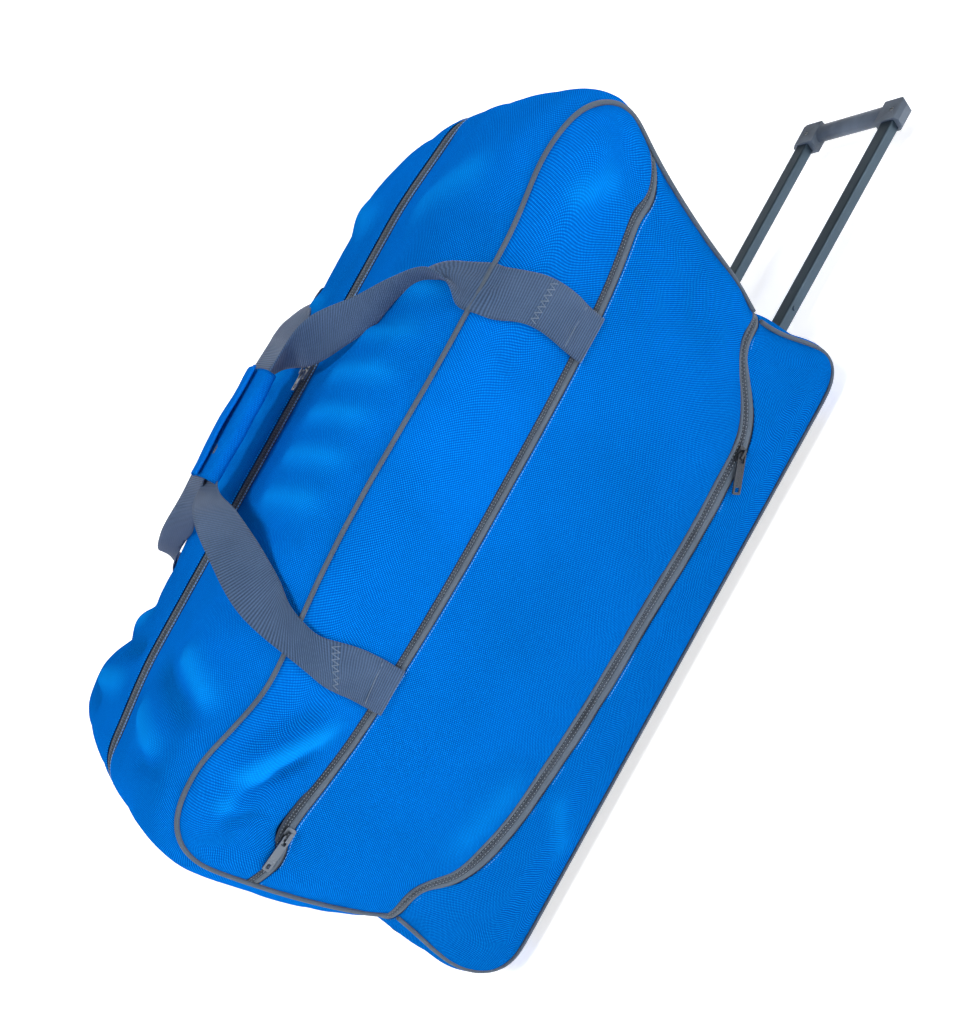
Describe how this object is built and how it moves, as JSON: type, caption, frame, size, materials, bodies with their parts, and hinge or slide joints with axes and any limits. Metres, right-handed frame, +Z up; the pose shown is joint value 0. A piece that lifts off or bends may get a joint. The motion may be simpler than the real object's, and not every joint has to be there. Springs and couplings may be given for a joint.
{
  "type": "rolling duffel bag",
  "caption": "Soft rolling duffel bag lying on its base, with corded edges, zips, carry straps, two wheels and a telescopic T-bar handle pulled out.",
  "frame": {"origin": "on the floor, under the middle of the whole length with the handle out", "axes": "+X along the bag towards the handle, +Y to the bag's left side, +Z up"},
  "size_m": [1.1923, 0.4154, 0.56],
  "materials": {
    "blue_fabric": "woven polyester",
    "base_fabric": "coated woven polyester",
    "piping": "woven cord cover",
    "zip_tape": "woven tape with nylon coil",
    "webbing": "ribbed webbing",
    "zip_metal": "satin",
    "pull_black": "matte",
    "black_plastic": "matte",
    "hub_plastic": "matte",
    "tyre": "matte",
    "steel": "satin",
    "tube_aluminium": "satin anodised",
    "grip_plastic": "fine texture",
    "board": "matte"
  },
  "bodies": {
    "bag": {"base_board": "board", "base_end_handle": "blue_fabric", "base_end_wheel": "blue_fabric", "base_floor": "base_fabric", "base_piping_left": "piping", "base_piping_right": "piping", "base_side_left": "blue_fabric", "base_side_right": "blue_fabric", "base_zip": "zip_tape", "carry_strap_left": "webbing", "carry_strap_right": "webbing", "end_bracket": "black_plastic", "end_panel_handle": "blue_fabric", "end_panel_wheel": "blue_fabric", "frame_rivets": "steel", "front_stand": "black_plastic", "grip_wrap": "blue_fabric", "handle_bezel": "black_plastic", "main_zip": "zip_tape", "outer_tube_left": "tube_aluminium", "outer_tube_right": "tube_aluminium", "piping_left": "piping", "piping_right": "piping", "pocket_zip_left": "zip_tape", "pocket_zip_right": "zip_tape", "side_lower_left": "blue_fabric", "side_lower_right": "blue_fabric", "side_upper_left": "blue_fabric", "side_upper_right": "blue_fabric", "top_panel_left": "blue_fabric", "top_panel_right": "blue_fabric", "wheel_axle_left": "steel", "wheel_axle_right": "steel", "wheel_housing_left": "black_plastic", "wheel_housing_right": "black_plastic"},
    "handle": {"grip_bar": "grip_plastic", "grip_block_right": "grip_plastic", "grip_block_left": "grip_plastic", "grip_screws": "steel", "inner_tube_right": "tube_aluminium", "inner_tube_left": "tube_aluminium", "tube_glide_right": "black_plastic", "tube_glide_left": "black_plastic", "button_springs": "steel"},
    "button_right": {"lock_button_right": "black_plastic"},
    "button_left": {"lock_button_left": "black_plastic"},
    "wheel_right": {"wheel_hub_right": "hub_plastic", "wheel_tyre_right": "tyre"},
    "wheel_left": {"wheel_hub_left": "hub_plastic", "wheel_tyre_left": "tyre"},
    "main_slider_a": {"main_slider_a": "zip_metal"},
    "main_pull_a": {"main_pull_a": "zip_metal"},
    "main_slider_b": {"main_slider_b": "zip_metal"},
    "main_pull_b": {"main_pull_b": "zip_metal"},
    "pocket_slider_right": {"pocket_slider_right": "zip_metal"},
    "pocket_pull_right": {"pocket_pull_right": "zip_metal"},
    "pocket_slider_left": {"pocket_slider_left": "zip_metal"},
    "pocket_pull_left": {"pocket_pull_left": "zip_metal"},
    "base_slider": {"base_slider": "zip_metal"},
    "base_pull": {"base_pull": "pull_black"}
  },
  "joints": [
    {"name": "handle_slide", "type": "slide", "parent": "bag", "child": "handle", "axis": [1, 0, 0], "range_m": [-0.33, 0]},
    {"name": "lock_button_right_press", "type": "slide", "parent": "handle", "child": "button_right", "axis": [0, 1, 0], "range_m": [0, 0.0025], "stiffness_N_per_m": 800, "springref_m": -0.001, "deforming": ["button_springs"]},
    {"name": "lock_button_left_press", "type": "slide", "parent": "handle", "child": "button_left", "axis": [0, -1, 0], "range_m": [0, 0.0025], "stiffness_N_per_m": 800, "springref_m": -0.001, "deforming": ["button_springs"]},
    {"name": "wheel_right_spin", "type": "hinge", "parent": "bag", "child": "wheel_right", "pos_m": [-0.5525, -0.1, 0.033], "axis": [0, 1, 0], "continuous": true},
    {"name": "wheel_left_spin", "type": "hinge", "parent": "bag", "child": "wheel_left", "pos_m": [-0.5525, 0.1, 0.033], "axis": [0, 1, 0], "continuous": true},
    {"name": "main_slider_a_slide", "type": "slide", "parent": "bag", "child": "main_slider_a", "axis": [-1, 0, 0], "range_m": [0, 0.35]},
    {"name": "main_pull_a_hinge", "type": "hinge", "parent": "main_slider_a", "child": "main_pull_a", "pos_m": [-0.1065, 0, 0.5097], "axis": [0, 1, 0], "range_deg": [0, 165]},
    {"name": "main_slider_b_slide", "type": "slide", "parent": "bag", "child": "main_slider_b", "axis": [1, 0, 0], "range_m": [0, 0.2]},
    {"name": "main_pull_b_hinge", "type": "hinge", "parent": "main_slider_b", "child": "main_pull_b", "pos_m": [-0.0765, 0, 0.5097], "axis": [0, -1, 0], "range_deg": [0, 165]},
    {"name": "pocket_slider_right_slide", "type": "hinge", "parent": "bag", "child": "pocket_slider_right", "pos_m": [-0.1205, -0.2, 3.388], "axis": [0, -1, 0], "range_deg": [0, 12.4]},
    {"name": "pocket_pull_right_hinge", "type": "hinge", "parent": "pocket_slider_right", "child": "pocket_pull_right", "pos_m": [-0.5145, -0.2047, 0.37364], "axis": [0.1296, 0, 0.9916], "range_deg": [0, 165]},
    {"name": "pocket_slider_left_slide", "type": "hinge", "parent": "bag", "child": "pocket_slider_left", "pos_m": [-0.1205, 0.2, 3.388], "axis": [0, -1, 0], "range_deg": [0, 12.4]},
    {"name": "pocket_pull_left_hinge", "type": "hinge", "parent": "pocket_slider_left", "child": "pocket_pull_left", "pos_m": [-0.5145, 0.2047, 0.37364], "axis": [-0.1296, 0, -0.9916], "range_deg": [0, 165]},
    {"name": "base_slider_slide", "type": "hinge", "parent": "bag", "child": "base_slider", "pos_m": [0.0095, -0.2, 3.531], "axis": [0, 1, 0], "range_deg": [0, 8.8]},
    {"name": "base_pull_hinge", "type": "hinge", "parent": "base_slider", "child": "base_pull", "pos_m": [0.0575, -0.2047, 0.11134], "axis": [-0.4695, 0, 0.8829], "range_deg": [0, 165]}
  ]
}
